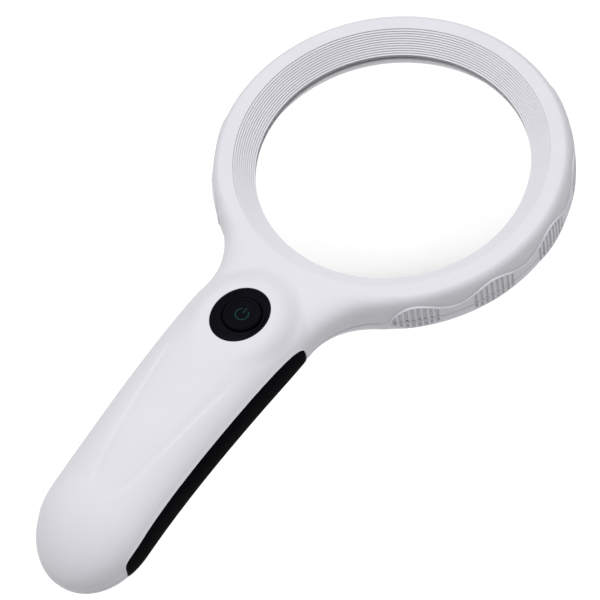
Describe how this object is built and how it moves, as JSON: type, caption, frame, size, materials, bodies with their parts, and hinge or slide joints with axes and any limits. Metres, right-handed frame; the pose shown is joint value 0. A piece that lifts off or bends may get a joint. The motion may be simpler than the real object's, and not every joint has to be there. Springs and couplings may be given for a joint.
{
  "type": "illuminated hand magnifier",
  "caption": "Low vision hand magnifier: round lens in a funnelled hollow ring, lamps behind it, and a curved battery handle with push button, side grips and battery door.",
  "frame": {"origin": "centre of the ring on the lens axis, half way between the ring's front and back faces", "axes": "+Z along the lens axis towards the eye; -Y from the ring down the handle; +X to the right seen from the front with the handle down"},
  "size_m": [0.116, 0.2298, 0.0361],
  "materials": {
    "white_plastic": "satin",
    "black_plastic": "gloss",
    "grip_rubber": "matt",
    "gasket_rubber": "matt",
    "lens_glass": "polished",
    "diffuser": "frosted",
    "lamp": "gloss",
    "symbol_paint": "printed",
    "circuit_board": "lacquered",
    "dark_component": "matt",
    "nylon": "satin",
    "cell_wrap": "gloss",
    "plated_steel": "nickel plated",
    "wire_red": "satin",
    "wire_black": "satin"
  },
  "bodies": {
    "housing": {"front_shell": "white_plastic", "back_shell": "white_plastic", "lens": "lens_glass", "lens_gasket": "gasket_rubber", "led_board": "circuit_board", "leds": "lamp", "led_diffuser": "diffuser", "grip_left": "grip_rubber", "grip_right": "grip_rubber", "button_bezel": "black_plastic", "switch_body": "dark_component", "main_board": "circuit_board", "driver_chip": "dark_component", "chip_resistors": "dark_component", "battery_tray": "dark_component", "battery_left": "cell_wrap", "battery_middle": "cell_wrap", "battery_right": "cell_wrap", "contact_plates": "plated_steel", "contact_springs": "plated_steel", "wire_led_positive": "wire_red", "wire_led_negative": "wire_black", "wire_battery_positive": "wire_red", "wire_battery_negative": "wire_black", "shell_screws": "plated_steel", "board_screws": "plated_steel"},
    "button": {"power_button": "black_plastic", "power_symbol": "symbol_paint", "switch_plunger": "nylon"},
    "door": {"battery_door": "white_plastic"}
  },
  "joints": [
    {"name": "button_press", "type": "slide", "parent": "housing", "child": "button", "axis": [0, 0, -1], "range_m": [0, 0.0009], "stiffness_N_per_m": 2500},
    {"name": "door_lift_off", "type": "slide", "parent": "housing", "child": "door", "axis": [0, 0.1833, -0.9831], "range_m": [0, 0.03], "stiffness_N_per_m": 500}
  ]
}
